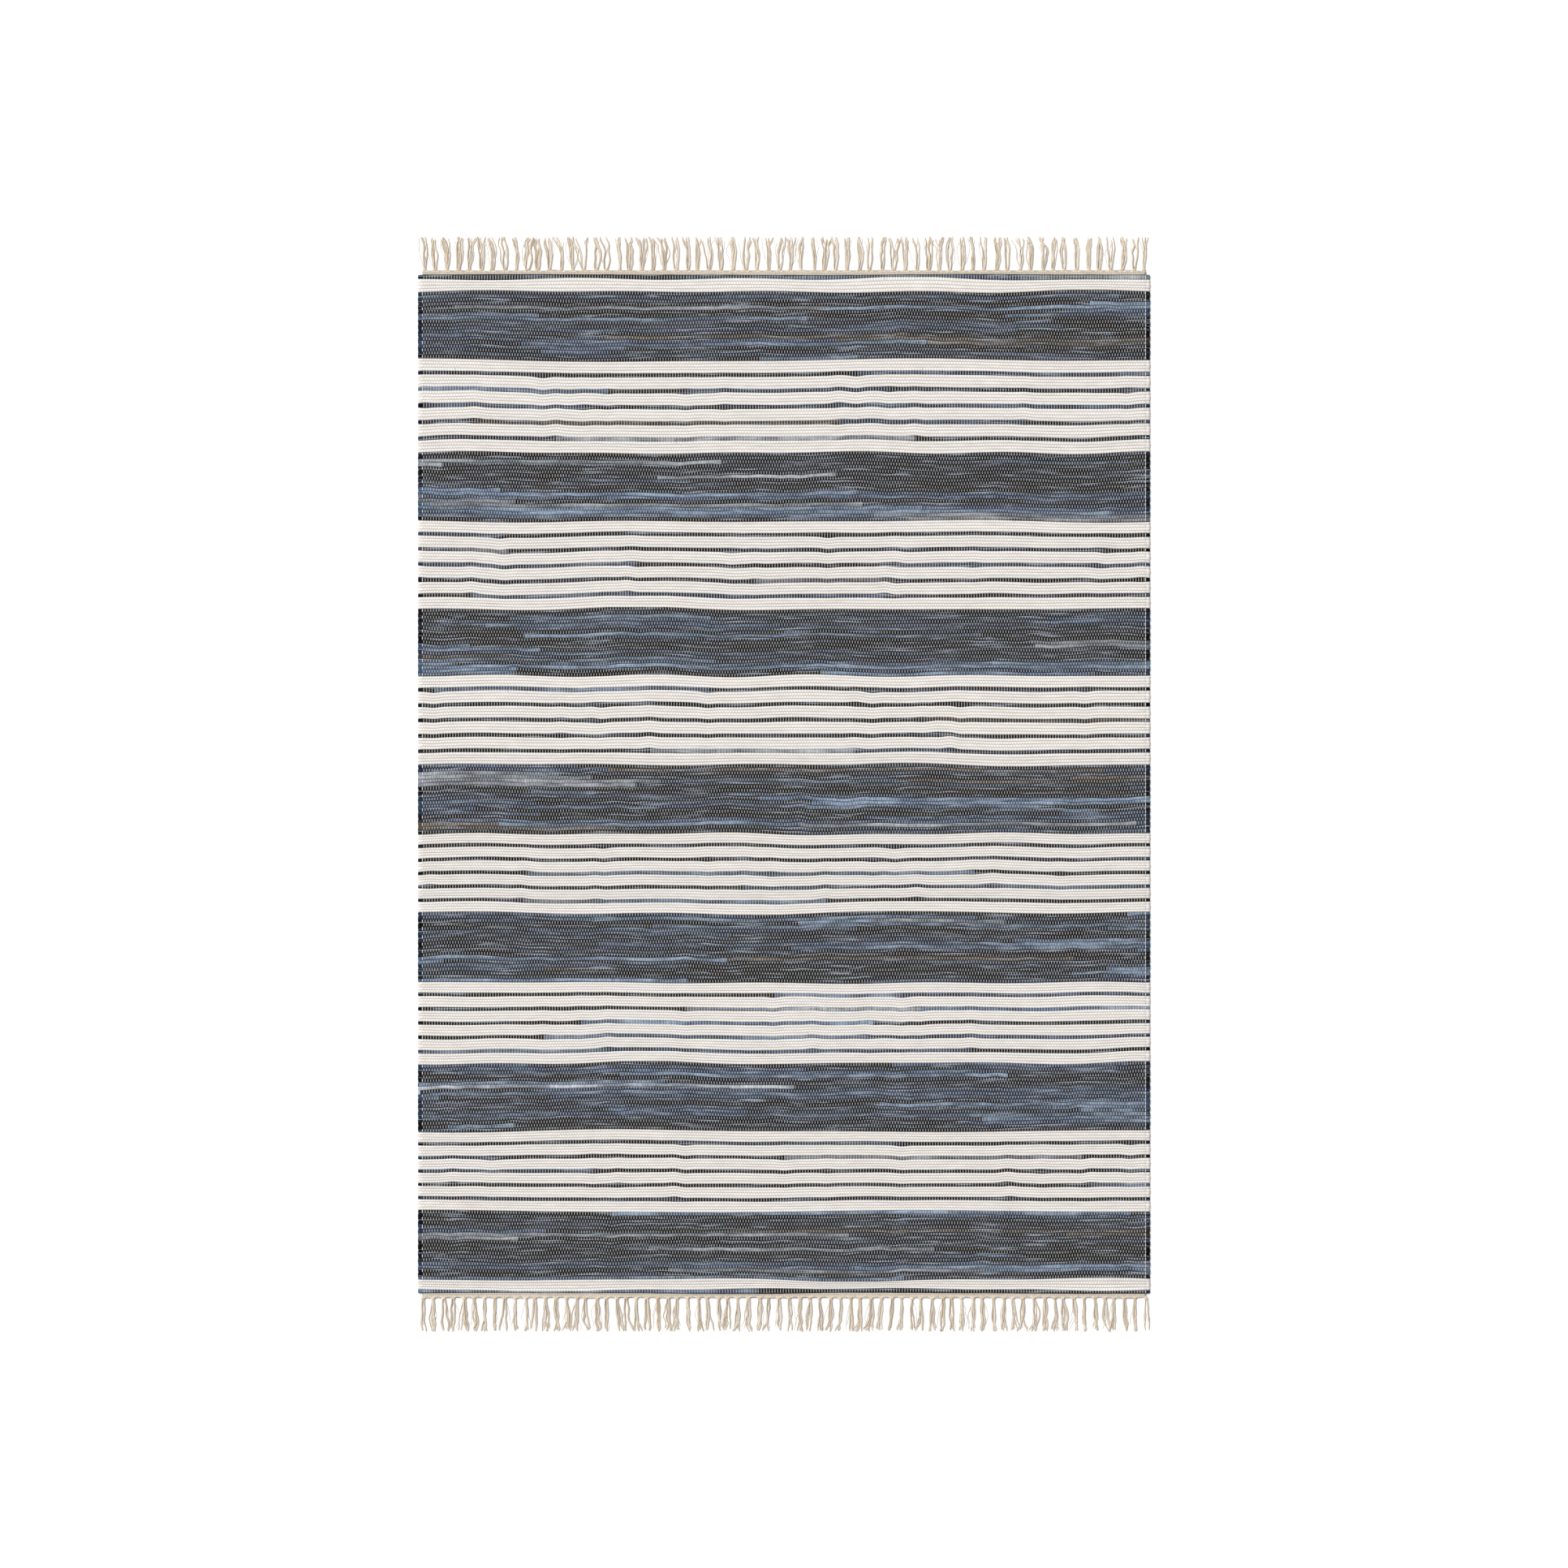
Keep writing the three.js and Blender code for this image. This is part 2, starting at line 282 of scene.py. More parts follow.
def woven_sheet(name, x, y, z, ends, picks, colours, material):
    """A closed sheet with the woven rows and columns on top and a flat underside, as one piece.

    ends counts the warp ends at each column and picks the picks at each row. colours has one for each pick
    and column. The underside is the weave's other face, so its wefts and warps change places.
    """
    rows, columns = x.shape
    under = np.linspace(0, columns - 1, UNDER_COLUMNS).round().astype(int)
    under_x = np.clip(x[:, under], x[:, :1] + UNDER_INSET, x[:, -1:] - UNDER_INSET)
    top = np.arange(rows * columns).reshape(rows, columns)
    bottom = rows * columns + np.arange(rows * len(under)).reshape(rows, len(under))
    points = np.concatenate(
        [
            np.stack([x, y, z], axis=-1).reshape(-1, 3),
            np.stack([under_x, y[:, under], np.zeros_like(under_x)], axis=-1).reshape(-1, 3),
        ]
    )
    quads = [
        np.stack([top[:-1, :-1], top[:-1, 1:], top[1:, 1:], top[1:, :-1]], axis=-1),
        np.stack([bottom[:-1, :-1], bottom[1:, :-1], bottom[1:, 1:], bottom[:-1, 1:]], axis=-1),
        np.stack([top[:-1, 0], top[1:, 0], bottom[1:, 0], bottom[:-1, 0]], axis=-1),
        np.stack([top[:-1, -1], bottom[:-1, -1], bottom[1:, -1], top[1:, -1]], axis=-1),
    ]
    near_wall = stitch(top[0], bottom[0], x[0], under_x[0])
    far_wall = [face[::-1] for face in stitch(top[-1], bottom[-1], x[-1], under_x[-1])]
    faces = [face for group in quads for face in group.reshape(-1, 4).tolist()] + near_wall + far_wall
    mesh = bpy.data.meshes.new(name)
    mesh.from_pydata((points * MM).tolist(), [], faces)
    smooth = np.ones(len(faces), bool)
    smooth[-len(near_wall) - len(far_wall) :] = False
    mesh.polygons.foreach_set("use_smooth", smooth)
    mesh.materials.append(material)

    # The weft colour of each face
    pick = np.arange(rows - 1) // 2
    under_middle = (under[:-1] + under[1:]) // 2
    shades = np.concatenate(
        [
            colours[pick][:, :-1].reshape(-1, 3),
            colours[pick][:, under_middle].reshape(-1, 3),
            colours[pick, 0],
            colours[pick, -1],
            np.repeat(colours[:1, 0], len(near_wall), axis=0),
            np.repeat(colours[-1:, 0], len(far_wall), axis=0),
        ]
    )
    layer = mesh.attributes.new("weft_colour", "FLOAT_COLOR", "FACE")
    layer.data.foreach_set("color", np.column_stack([shades, np.ones(len(shades))]).ravel())

    # The weave map counts warp ends and picks.
    corner = np.empty(len(mesh.loops), int)
    mesh.loops.foreach_get("vertex_index", corner)
    counted = np.concatenate(
        [
            np.stack(np.broadcast_arrays(ends[None, :], picks[:, None]), axis=-1).reshape(-1, 2),
            np.stack(np.broadcast_arrays(ends[None, under] + 1, picks[:, None]), axis=-1).reshape(-1, 2),
        ]
    )
    mesh.uv_layers.new(name="weave").data.foreach_set("uv", counted[corner].ravel())

    # The bake map lays the upper face out in blocks, with the rest of the sheet flat above them.
    laid_out = np.zeros((len(mesh.loops), 2))
    column_block = np.arange(columns - 1) * MAP_BLOCKS // (columns - 1)
    block_start = np.searchsorted(column_block, np.arange(MAP_BLOCKS))
    top_corners = quads[0].size
    on_top = corner[:top_corners]
    block = np.repeat(np.tile(column_block, rows - 1), 4)
    across = (on_top % columns - block_start[block]) / ((columns - 1) / MAP_BLOCKS + 1)
    row_share = on_top // columns / (rows - 1)
    laid_out[:top_corners, 0] = (block % 2 + MAP_MARGIN + MAP_FILL * across) / 2
    laid_out[:top_corners, 1] = (block // 2 + MAP_MARGIN + MAP_FILL * row_share) * TOP_SHARE / 2
    rest = points[corner[top_corners:]]
    laid_out[top_corners:, 0] = MAP_MARGIN + MAP_FILL * (rest[:, 0] / RUG_WIDTH + 0.5)
    depth = (rest[:, 1] - y.min()) / np.ptp(y)
    laid_out[top_corners:, 1] = TOP_SHARE + MAP_MARGIN + (MAP_FILL - TOP_SHARE) * depth
    mesh.uv_layers.new(name="OFBake").data.foreach_set("uv", laid_out.ravel())
    piece = bpy.data.objects.new(name, mesh)
    bpy.context.scene.collection.objects.link(piece)
    return piece


def add(tree, kind, links=None, **settings):
    """Adds a node with its settings, and links or sets its inputs."""
    node = tree.nodes.new(kind)
    for name, value in settings.items():
        setattr(node, name, value)
    for key, value in (links or {}).items():
        if isinstance(value, bpy.types.NodeSocket):
            tree.links.new(value, node.inputs[key])
        else:
            node.inputs[key].default_value = value
    return node


def shader_tree(name):
    """A new material, and its tree with no nodes in it yet."""
    material = bpy.data.materials.new(name)
    material.use_nodes = True
    material.node_tree.nodes.clear()
    return material, material.node_tree


# Woven cotton rag: matt and soft, with a cream dash wherever a warp end crosses a weft. The dash is a thin
# spun yarn, so it is narrower than the weft it holds down, and the weft is creased along its length. The
# outermost end on each side is doubled, and the right one floats over every pick as an almost unbroken line.
# The weft's colour is painted darker in the grooves and at the sides of each crossing, as painted shade, and
# lighter on the crown of each crossing, as a painted highlight.
DASH_WIDTH = 0.34  # half of a dash, as shares of a warp end and of a pick
DASH_LENGTH = 0.45
DASH_COVER = 0.43  # the rest is lint and shade from the weft beside it
OUTER_COVER = 0.8  # the same for the outermost ends
CREASE_ACROSS = 2.5  # creases in a pick's width, and the warp ends that one runs on
CREASE_ALONG = 14
FRAY_ACROSS = 2.0  # the same for pale frayed streaks
FRAY_ALONG = 36
BULGE = 1.4  # millimetres, the relief inside one crossing
HELD_HEIGHT = 0.4  # of a weft's own height, where a warp end holds it down
CREASE_RELIEF = 0.35  # the same, of a crease and of a dash
DASH_RELIEF = 0.55

rag_weave, tree = shader_tree("woven cotton rag")
weave_map = add(tree, "ShaderNodeUVMap", uv_map="weave").outputs["UV"]
weft_colour = add(tree, "ShaderNodeAttribute", attribute_name="weft_colour").outputs["Color"]
crossing = add(tree, "ShaderNodeVectorMath", {0: weave_map}, operation="FLOOR").outputs["Vector"]
count = add(
    tree,
    "ShaderNodeVectorMath",
    {0: crossing, 1: (1, 1, 0)},
    operation="DOT_PRODUCT",
).outputs["Value"]
warp_up = add(tree, "ShaderNodeMath", {0: count, 1: 2.0}, operation="FLOORED_MODULO").outputs[0]
end_number = add(tree, "ShaderNodeSeparateXYZ", {0: weave_map}).outputs["X"]
first_end = add(tree, "ShaderNodeMath", {0: end_number, 1: 1.0}, operation="LESS_THAN").outputs[0]
last_end = add(
    tree,
    "ShaderNodeMath",
    {0: end_number, 1: WARP_ENDS - 1.0},
    operation="GREATER_THAN",
).outputs[0]
outer_end = add(tree, "ShaderNodeMath", {0: first_end, 1: last_end}, operation="MAXIMUM").outputs[0]
warp_seen = add(tree, "ShaderNodeMath", {0: warp_up, 1: last_end}, operation="MAXIMUM").outputs[0]
within = add(tree, "ShaderNodeVectorMath", {0: weave_map}, operation="FRACTION").outputs["Vector"]
centred = add(
    tree,
    "ShaderNodeVectorMath",
    {0: within, 1: (0.5, 0.5, 0)},
    operation="SUBTRACT",
).outputs["Vector"]
dash_size = (DASH_WIDTH, DASH_LENGTH, 1)
in_dash = add(tree, "ShaderNodeVectorMath", {0: centred, 1: dash_size}, operation="DIVIDE").outputs["Vector"]
blunt = add(tree, "ShaderNodeVectorMath", {0: in_dash, 1: in_dash}, operation="MULTIPLY").outputs["Vector"]
from_dash = add(tree, "ShaderNodeVectorMath", {0: blunt}, operation="LENGTH").outputs["Value"]
dash_shape = add(
    tree,
    "ShaderNodeMapRange",
    {"Value": from_dash, "From Min": 1.2, "From Max": 0.7, "To Min": 0.0, "To Max": 1.0},
    interpolation_type="SMOOTHSTEP",
).outputs["Result"]
dash = add(tree, "ShaderNodeMath", {0: dash_shape, 1: warp_seen}, operation="MULTIPLY").outputs[0]
squared = add(tree, "ShaderNodeVectorMath", {0: centred, 1: centred}, operation="MULTIPLY").outputs["Vector"]
round_off = add(
    tree,
    "ShaderNodeVectorMath",
    {0: squared, 1: (-4, -4, 0), 2: (1, 1, 0)},
    operation="MULTIPLY_ADD",
).outputs["Vector"]
rounded = add(tree, "ShaderNodeSeparateXYZ", {0: round_off})
weft_up = add(tree, "ShaderNodeMath", {0: 1.0, 1: warp_up}, operation="SUBTRACT").outputs[0]
bulge = add(tree, "ShaderNodeMath", {0: rounded.outputs["X"], 1: weft_up}, operation="MULTIPLY").outputs[0]
bulge_share = add(
    tree,
    "ShaderNodeMath",
    {0: bulge, 1: 1 - HELD_HEIGHT, 2: HELD_HEIGHT},
    operation="MULTIPLY_ADD",
).outputs[0]
weft_height = add(
    tree,
    "ShaderNodeMath",
    {0: rounded.outputs["Y"], 1: bulge_share},
    operation="MULTIPLY",
).outputs[0]
crease_size = (1 / CREASE_ALONG, CREASE_ACROSS, 1)
crease_map = add(
    tree,
    "ShaderNodeVectorMath",
    {0: weave_map, 1: crease_size},
    operation="MULTIPLY",
).outputs["Vector"]
creases = add(
    tree,
    "ShaderNodeTexNoise",
    {"Vector": crease_map, "Scale": 1.0, "Detail": 4.0, "Roughness": 0.6},
).outputs["Fac"]
creased = add(
    tree,
    "ShaderNodeMath",
    {0: creases, 1: CREASE_RELIEF, 2: weft_height},
    operation="MULTIPLY_ADD",
).outputs[0]
height = add(
    tree,
    "ShaderNodeMath",
    {0: dash, 1: DASH_RELIEF, 2: creased},
    operation="MULTIPLY_ADD",
).outputs[0]
bump = add(tree, "ShaderNodeBump", {"Height": height, "Strength": 1.0, "Distance": BULGE * MM})
wear = add(
    tree,
    "ShaderNodeMapRange",
    {"Value": creases, "From Min": 0.3, "From Max": 0.7, "To Min": -0.7, "To Max": 1.2},
).outputs["Result"]
weft_light = add(tree, "ShaderNodeRGBToBW", {"Color": weft_colour}).outputs["Val"]
dark_share = add(
    tree,
    "ShaderNodeMapRange",
    {"Value": weft_light, "From Min": 0.1, "From Max": 0.6, "To Min": 1.0, "To Max": 0.12},
).outputs["Result"]
worn = add(tree, "ShaderNodeMath", {0: wear, 1: dark_share, 2: 1.0}, operation="MULTIPLY_ADD").outputs[0]
# Painted shade and highlight: the weft is darker where its height is low, in the grooves and at the sides of
# a crossing, and lighter on its crown.
painted_groove_shade = add(
    tree,
    "ShaderNodeMapRange",
    {"Value": weft_height, "From Min": 0.0, "From Max": 0.75, "To Min": 0.62, "To Max": 1.15},
).outputs["Result"]
# The wear streaks and the painted groove shade together scale the weft's colour.
wear_and_painted_shade = add(tree, "ShaderNodeMath", {0: worn, 1: painted_groove_shade}, operation="MULTIPLY").outputs[0]
weft_worn_and_shaded = add(
    tree,
    "ShaderNodeVectorMath",
    {0: weft_colour, "Scale": wear_and_painted_shade},
    operation="SCALE",
).outputs["Vector"]
fray_size = (1 / FRAY_ALONG, FRAY_ACROSS, 1)
fray_map = add(
    tree,
    "ShaderNodeVectorMath",
    {0: weave_map, 1: fray_size},
    operation="MULTIPLY",
).outputs["Vector"]
fray_noise = add(
    tree,
    "ShaderNodeTexNoise",
    {"Vector": fray_map, "Scale": 1.0, "Detail": 3.0, "Roughness": 0.65},
).outputs["Fac"]
fray = add(
    tree,
    "ShaderNodeMapRange",
    {"Value": fray_noise, "From Min": 0.565, "From Max": 0.64, "To Min": 0.0, "To Max": 0.62},
).outputs["Result"]
dark_fray = add(tree, "ShaderNodeMath", {0: fray, 1: dark_share}, operation="MULTIPLY").outputs[0]
weft_seen = add(
    tree,
    "ShaderNodeMix",
    {"Factor": dark_fray, "A": weft_worn_and_shaded, "B": (*linear(FRAY_HEX), 1)},
    data_type="RGBA",
).outputs["Result"]
warp_colour = (*linear(WARP_HEX), 1)
cover = add(
    tree,
    "ShaderNodeMath",
    {0: outer_end, 1: OUTER_COVER - DASH_COVER, 2: DASH_COVER},
    operation="MULTIPLY_ADD",
).outputs[0]
dash_cover = add(tree, "ShaderNodeMath", {0: dash, 1: cover}, operation="MULTIPLY").outputs[0]
surface = add(
    tree,
    "ShaderNodeMix",
    {"Factor": dash_cover, "A": weft_seen, "B": warp_colour},
    data_type="RGBA",
)
shader = add(
    tree,
    "ShaderNodeBsdfPrincipled",
    {
        "Base Color": surface.outputs["Result"],
        "Roughness": 0.95,
        "Specular IOR Level": 0.08,
        "Sheen Weight": 0.02,
        "Sheen Roughness": 0.6,
        "Normal": bump.outputs["Normal"],
    },
)
add(tree, "ShaderNodeOutputMaterial", {"Surface": shader.outputs["BSDF"]})

repeats = []
first = 0
for number, stripes in groupby(STRIPES, key=lambda stripe: stripe["repeat"]):
    stripes = list(stripes)
    last = first + sum(len(STRIPE_PICKS[stripe["kind"]]) for stripe in stripes)
    rows = slice(2 * first, 2 * last + 1)
    piece = woven_sheet(
        f"weave_repeat_{number}",
        row_x[rows],
        row_y[rows],
        row_z[rows],
        column_end,
        np.arange(2 * first, 2 * last + 1) / 2,
        colours[first:last],
        rag_weave,
    )
    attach(piece, "root")
    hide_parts("woven_body")
    flat = (RUG_WIDTH * MM, sum(stripe["width"] for stripe in stripes) * MM)
    repeats.append({"piece": piece, "flat": flat})
    first = last

# The headings
# At each end a few picks of fine warp cotton are beaten against the last rag pick, so that the weave can't
# slip off its warp. They lie just outside the body, inside the selvedges.
HEADING_PICKS = 4
HEADING_CREST = 3.7  # millimetres, as the next six are
HEADING_VALLEY = 3.0
HEADING_DIP = 0.35
HEADING_DEPTH = 7
PIECE_GAP = 0.3  # between the body and a heading
EDGE_STRAY = 0.4  # of a heading's outer edge
EDGE_LENGTHS = (30, 200)  # over which it strays
HEADING_HEX = "#f0e1cc"
HEADING_SHADE = 0.06  # how far its shade varies from crossing to crossing

# The two fringes, each seen from the woven edge towards its tips, in millimetres. Leans are sideways at the
# tips, at even steps along the end, and the bow is sideways at mid length. The spread is the least and most
# that a tassel's outer locks lie from its middle.
FRINGES = [
    {
        "end": "far_end",
        "turn": 0.0,
        "seed": 1,
        "tassels": 64,
        "bow": 1.3,
        "leans": [-0.8, -1.7, -2, -0.5, 1.2, -0.8, 1.7, 0.5],
        "spread": (1.6, 4.4),
        "woven_edge": edge_y[-1],
        "repeat": repeats[-1],
    },
    {
        "end": "near_end",
        "turn": math.pi,
        "seed": 2,
        "tassels": 72,
        "bow": -0.4,
        "leans": [-0.7, -2.5, 0.9, 3, 0.5, -1.1, -2.4, 1.3, -2],
        "spread": (1.2, 2.9),
        "woven_edge": -edge_y[0][::-1],
        "repeat": repeats[0],
    },
]


def turned_end(piece, fringe):
    """Turns a piece made at the far end round to its own end of the rug."""
    piece.data.transform(Matrix.Rotation(fringe["turn"], 4, "Z"))
    return piece


outer_edge = WOVEN_LENGTH / 2 + PIECE_GAP + HEADING_DEPTH
on_warp = slice(len(LOOP_STEPS), len(LOOP_STEPS) + WARP_ENDS)
for fringe in FRINGES:
    inner = fringe["woven_edge"][on_warp] + PIECE_GAP
    outer = outer_edge + EDGE_STRAY * ripples(end_x, 1, *EDGE_LENGTHS)[0]
    steps = np.linspace(0, 1, 2 * HEADING_PICKS + 1)[:, None]
    heading_z = np.where(np.arange(len(steps)) % 2 == 0, HEADING_VALLEY, HEADING_CREST)[:, None]
    over = (np.arange(WARP_ENDS) + np.arange(len(steps))[:, None] // 2) % 2
    shade = 1 + HEADING_SHADE * draws.standard_normal((HEADING_PICKS, WARP_ENDS))
    piece = woven_sheet(
        f"heading_{fringe['end']}",
        np.repeat(end_x[None, :], len(steps), axis=0),
        inner + steps * (outer - inner),
        heading_z - HEADING_DIP * over,
        np.arange(WARP_ENDS) + 0.5,
        np.arange(len(steps)) / 2,
        linear(HEADING_HEX) * shade[..., None],
        rag_weave,
    )
    turned_end(piece, fringe)
    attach(piece, "root")
    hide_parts(f"fringe_{fringe['end']}")
    fringe["pieces"] = [piece]

# The tassels
# Past the heading the warp ends hang free. Each is a two-ply cotton yarn. Seven or eight of them at a time
# are gathered into a knot and then spread on the floor, waved and uneven, with their cut tips frayed.
YARN_RADIUS = 0.8  # millimetres, as the sizes down to SIDE_MARGIN are
PLY_RADIUS = 0.3
FIBRE_RADIUS = 0.15
FRINGE_REACH = 55  # from the heading to the longest tip
KNOT_PAST = 1  # from the heading's edge to the knot
ROOT_JITTER = 2  # how far a knot, a tassel's tip and its middle stray from the fringe's usual places
LEAN_JITTER = 1.8
BOW_JITTER = 1.3
SIDE_MARGIN = 1.5  # that the outermost yarns keep from the rug's sides
SHORTEST = 0.88  # the shortest yarn, as a share of the longest


def fixed_uneven(seed, index, use):
    """A fixed uneven number between -1 and 1 for each fringe, tassel and use."""
    wave = math.sin(seed * 311.7 + index * 12.9898 + use * 78.233) * 43758.5453
    return 2 * (wave - math.floor(wave)) - 1


# Undyed spun cotton: matt, a little hairy, with the slant of its two plies showing as a fine twist, and with
# painted shade in the grooves between the plies.
YARN_HEXES = ("#c4ad8d", "#efe5d8")  # the darkest and palest yarn
PLIES = 2
PLY_PITCH = 3.2  # millimetres of yarn for one turn of its twist
HAIR_SIZE = 0.9  # millimetres
YARN_RELIEF = 0.3  # millimetres
PLY_RELIEF = 0.35  # the plies' relief, as a share of the hairs'
PLY_PAINTED_SHADE = 0.1  # how far the painted shade between the plies, and the hairs' own mottling, change the yarn's colour
HAIR_SHADE = 0.35
spun_cotton, tree = shader_tree("undyed spun cotton")
along = add(tree, "ShaderNodeAttribute", attribute_name="along").outputs["Fac"]
around = add(tree, "ShaderNodeAttribute", attribute_name="around").outputs["Fac"]
tone = add(tree, "ShaderNodeAttribute", attribute_name="tone").outputs["Fac"]
turns = add(
    tree,
    "ShaderNodeMath",
    {0: along, 1: 1 / (PLY_PITCH * MM), 2: around},
    operation="MULTIPLY_ADD",
).outputs[0]
ply_angle = add(tree, "ShaderNodeMath", {0: turns, 1: 2 * math.pi * PLIES}, operation="MULTIPLY").outputs[0]
plies = add(tree, "ShaderNodeMath", {0: ply_angle}, operation="SINE").outputs[0]
place = add(tree, "ShaderNodeTexCoord").outputs["Object"]
hairs = add(
    tree,
    "ShaderNodeTexNoise",
    {"Vector": place, "Scale": 1 / (HAIR_SIZE * MM), "Detail": 2.0},
).outputs["Fac"]
relief = add(tree, "ShaderNodeMath", {0: plies, 1: PLY_RELIEF, 2: hairs}, operation="MULTIPLY_ADD").outputs[0]
yarn_bump = add(tree, "ShaderNodeBump", {"Height": relief, "Strength": 0.6, "Distance": YARN_RELIEF * MM})
# Painted shade: the yarn is darker in the grooves between its plies, where the plies' relief is low.
tone_and_twist_shade = add(tree, "ShaderNodeMath", {0: plies, 1: PLY_PAINTED_SHADE, 2: tone}, operation="MULTIPLY_ADD").outputs[0]
shade = add(
    tree,
    "ShaderNodeMath",
    {0: hairs, 1: HAIR_SHADE, 2: tone_and_twist_shade},
    operation="MULTIPLY_ADD",
).outputs[0]
yarn_colour = add(
    tree,
    "ShaderNodeMix",
    {"Factor": shade, "A": (*linear(YARN_HEXES[0]), 1), "B": (*linear(YARN_HEXES[1]), 1)},
    data_type="RGBA",
)
shader = add(
    tree,
    "ShaderNodeBsdfPrincipled",
    {
        "Base Color": yarn_colour.outputs["Result"],
        "Roughness": 0.88,
        "Specular IOR Level": 0.25,
        "Sheen Weight": 0.1,
        "Sheen Roughness": 0.6,
        "Normal": yarn_bump.outputs["Normal"],
    },
)
add(tree, "ShaderNodeOutputMaterial", {"Surface": shader.outputs["BSDF"]})

# A yarn is a round section carried along its path, as thick as the path says at each point.
yarn_tree = bpy.data.node_groups.new("spun yarn", "GeometryNodeTree")
yarn_tree.interface.new_socket("Paths", in_out="INPUT", socket_type="NodeSocketGeometry")
sides_input = yarn_tree.interface.new_socket("Sides", in_out="INPUT", socket_type="NodeSocketInt")
finish_input = yarn_tree.interface.new_socket("Finish", in_out="INPUT", socket_type="NodeSocketMaterial")
yarn_tree.interface.new_socket("Yarns", in_out="OUTPUT", socket_type="NodeSocketGeometry")
given = add(yarn_tree, "NodeGroupInput")
paths = add(yarn_tree, "GeometryNodeMeshToCurve", {"Mesh": given.outputs["Paths"]})
thick = add(yarn_tree, "GeometryNodeInputNamedAttribute", {"Name": "thickness"}, data_type="FLOAT")
spot = add(yarn_tree, "GeometryNodeSplineParameter")
measured = add(
    yarn_tree,
    "GeometryNodeStoreNamedAttribute",
    {"Geometry": paths.outputs["Curve"], "Name": "along", "Value": spot.outputs["Length"]},
    data_type="FLOAT",
    domain="POINT",
)
section = add(
    yarn_tree,
    "GeometryNodeCurvePrimitiveCircle",
    {"Resolution": given.outputs["Sides"], "Radius": 1.0},
)
ringed = add(
    yarn_tree,
    "GeometryNodeStoreNamedAttribute",
    {"Geometry": section.outputs["Curve"], "Name": "around", "Value": spot.outputs["Factor"]},
    data_type="FLOAT",
    domain="POINT",
)
swept = add(
    yarn_tree,
    "GeometryNodeCurveToMesh",
    {
        "Curve": measured.outputs["Geometry"],
        "Profile Curve": ringed.outputs["Geometry"],
        "Scale": thick.outputs["Attribute"],
        "Fill Caps": True,
    },
)
soft = add(
    yarn_tree,
    "GeometryNodeSetShadeSmooth",
    {"Geometry": swept.outputs["Mesh"], "Shade Smooth": True},
)
whole = add(yarn_tree, "GeometryNodeRealizeInstances", {"Geometry": soft.outputs["Geometry"]})
finished = add(
    yarn_tree,
    "GeometryNodeSetMaterial",
    {"Geometry": whole.outputs["Geometry"], "Material": given.outputs["Finish"]},
)
add(yarn_tree, "NodeGroupOutput", {"Yarns": finished.outputs["Geometry"]})


def spun(name, yarns, sides, finish):
    """One piece of many yarns. Each yarn has its path in millimetres, its radius and its tone."""
    counts = [len(yarn["path"]) for yarn in yarns]
    starts = np.cumsum([0] + counts)
    edges = [(i, i + 1) for begin, many in zip(starts, counts) for i in range(begin, begin + many - 1)]
    mesh = bpy.data.meshes.new(name)
    mesh.from_pydata((np.concatenate([yarn["path"] for yarn in yarns]) * MM).tolist(), edges, [])
    radii = np.concatenate([np.broadcast_to(yarn["radius"], len(yarn["path"])) for yarn in yarns]) * MM
    mesh.attributes.new("thickness", "FLOAT", "POINT").data.foreach_set("value", radii)
    tones = np.repeat([yarn["tone"] for yarn in yarns], counts)
    mesh.attributes.new("tone", "FLOAT", "POINT").data.foreach_set("value", tones)
    piece = bpy.data.objects.new(name, mesh)
    bpy.context.scene.collection.objects.link(piece)
    sweep = piece.modifiers.new("spun yarn", "NODES")
    sweep.node_group = yarn_tree
    sweep[sides_input.identifier] = sides
    sweep[finish_input.identifier] = finish
    swept_yarns = piece.evaluated_get(bpy.context.evaluated_depsgraph_get())
    solid = bpy.data.meshes.new_from_object(swept_yarns)
    piece.modifiers.clear()
    piece.data = solid
    return piece


def tassel_roots(fringe):
    """Where each tassel's knot is, how far its tip leans and how far its middle bows, in millimetres."""
    shares = (np.arange(fringe["tassels"]) + 0.5) / fringe["tassels"]
    seed = fringe["seed"]
    uneven = np.array([[fixed_uneven(seed, i, use) for use in range(3)] for i in range(len(shares))])
    roots = (shares - 0.5) * RUG_WIDTH + ROOT_JITTER * uneven[:, 0]
    leans = np.interp(shares, np.linspace(0, 1, len(fringe["leans"])), fringe["leans"])
    return roots, leans + LEAN_JITTER * uneven[:, 1], fringe["bow"] + BOW_JITTER * uneven[:, 2]


# How the locks and yarns of a tassel lie. Lengths of waves and places along a yarn are shares of it, and
# other sizes are in millimetres.
WAVE_LENGTHS = (0.4, 0.95)
WAVE_HEIGHTS = (0.5, 2.3)
LOCK_LEAN = 2.6
LOCK_CURL = 2.6
CURL_FROM = 0.55  # where a tip starts to curl, and how gently it does
CURL_EASE = 0.2
CRIMP_LENGTHS = (0.2, 0.35)
CRIMP_HEIGHTS = (0.1, 0.5)
OPEN_BY = 0.3  # where a bunch has opened from its knot, and how blunt the opening is
OPEN_BLUNT = 0.7
SQUEEZED = 0.45  # a bunch's width beside its knot, as a share of its open width
STRAY_ARC = 0.75  # of a half wave, that a stray yarn swings through
LAYER_HEIGHT = 1.1  # of one yarn lying on another beside the knot, and how much of it is lost by the tip
LAYER_FALL = 0.7
YARN_START = 0.07  # the free length's first point, and how many it has
YARN_POINTS = 13
FIBRES = 2  # at a cut tip
FIBRE_REACHES = (1.5, 3.5)
FIBRE_SWING = 0.7
FIBRE_LIMIT = 1.5  # past the longest tip
LOCKS = (2, 5)  # the fewest locks in a tassel, and one more than the most
LOCK_STRAY = 0.2  # of the tassel's spread
YARN_STRAY = 0.55  # of a yarn in its lock
BENT_SHARE = 0.16  # of the yarns leave their lock, and how far they and the others bend
